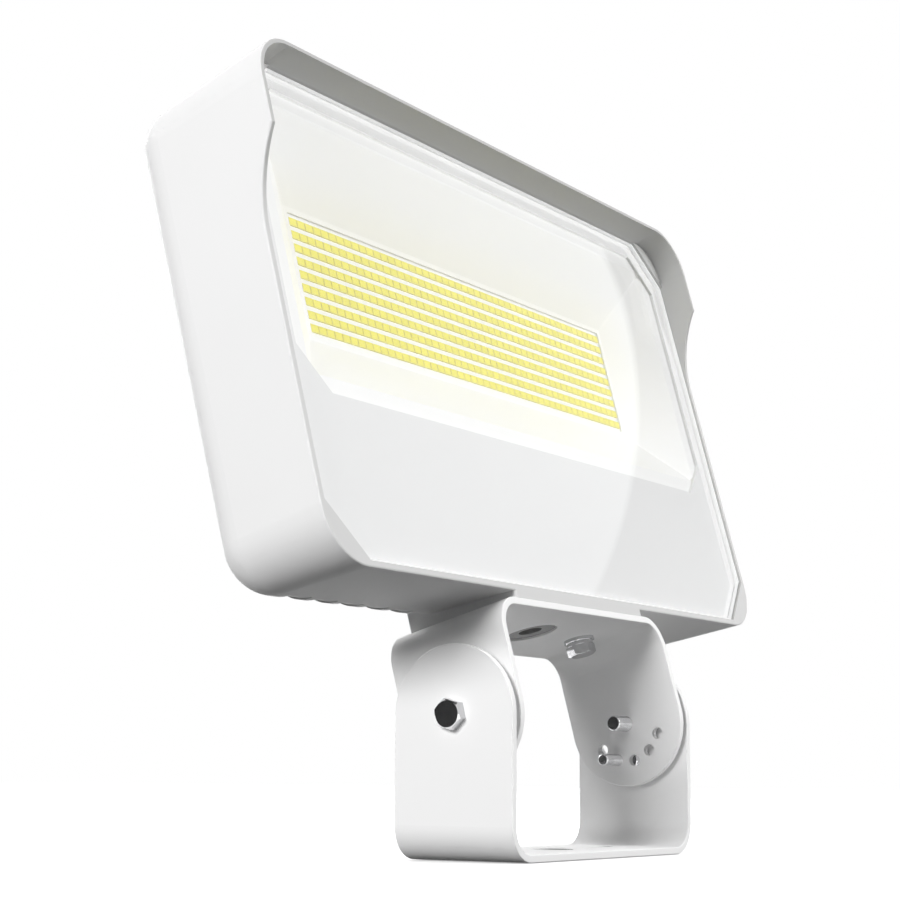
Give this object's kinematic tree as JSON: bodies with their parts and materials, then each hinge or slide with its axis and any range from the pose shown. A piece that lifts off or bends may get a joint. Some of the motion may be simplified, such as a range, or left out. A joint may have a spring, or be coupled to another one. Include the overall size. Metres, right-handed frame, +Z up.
{
  "type": "flood light",
  "caption": "White LED flood light: a hooded, finned housing with a wide glass front, on arms that tilt in a U-shaped trunnion bracket and lock with a bolt in an arc slot.",
  "frame": {"origin": "centre of the base hole, on the underside of the trunnion bracket, the face that is bolted down", "axes": "+Z up out of the mounting surface, +Y to the back of the light, +X along the tilt axis, to the right seen from the front"},
  "size_m": [0.4088, 0.1415, 0.3682],
  "materials": {
    "white_casting": "satin",
    "white_steel": "satin",
    "bolt_steel": "polished",
    "front_glass": "gloss",
    "white_film": "matte",
    "seal_rubber": "matte",
    "white_reflector": "satin",
    "white_board": "satin",
    "led_phosphor": "satin",
    "ivory_plastic": "satin",
    "grey_pad": "matte",
    "driver_case": "matte",
    "lead_insulation": "satin",
    "black_rubber": "matte",
    "grey_rubber": "matte",
    "terminal_brass": "satin"
  },
  "bodies": {
    "bracket": {"u_bracket": "white_steel", "pivot_bolts": "bolt_steel", "pivot_spacers": "white_steel"},
    "head": {"housing": "white_casting", "lens": "front_glass", "lens_mask": "white_film", "lens_gasket": "seal_rubber", "reflector": "white_reflector", "led_board": "white_board", "led_packages": "led_phosphor", "board_connector": "ivory_plastic", "thermal_pad": "grey_pad", "board_screws": "bolt_steel", "driver": "driver_case", "driver_screws": "bolt_steel", "driver_leads": "lead_insulation", "lead_grommet": "black_rubber", "terminal_block": "ivory_plastic", "terminal_screws": "terminal_brass", "entry_bushing": "grey_rubber", "arm_bracket": "white_steel", "arm_bolts": "bolt_steel", "arm_washers": "bolt_steel", "arm_spring_washers": "bolt_steel", "pivot_inserts": "white_steel", "lock_bolt": "bolt_steel", "lock_washer": "bolt_steel"}
  },
  "joints": [
    {"name": "tilt", "type": "hinge", "parent": "bracket", "child": "head", "pos_m": [0, 0, 0.0665], "axis": [-1, 0, 0], "range_deg": [-90, 30]}
  ]
}
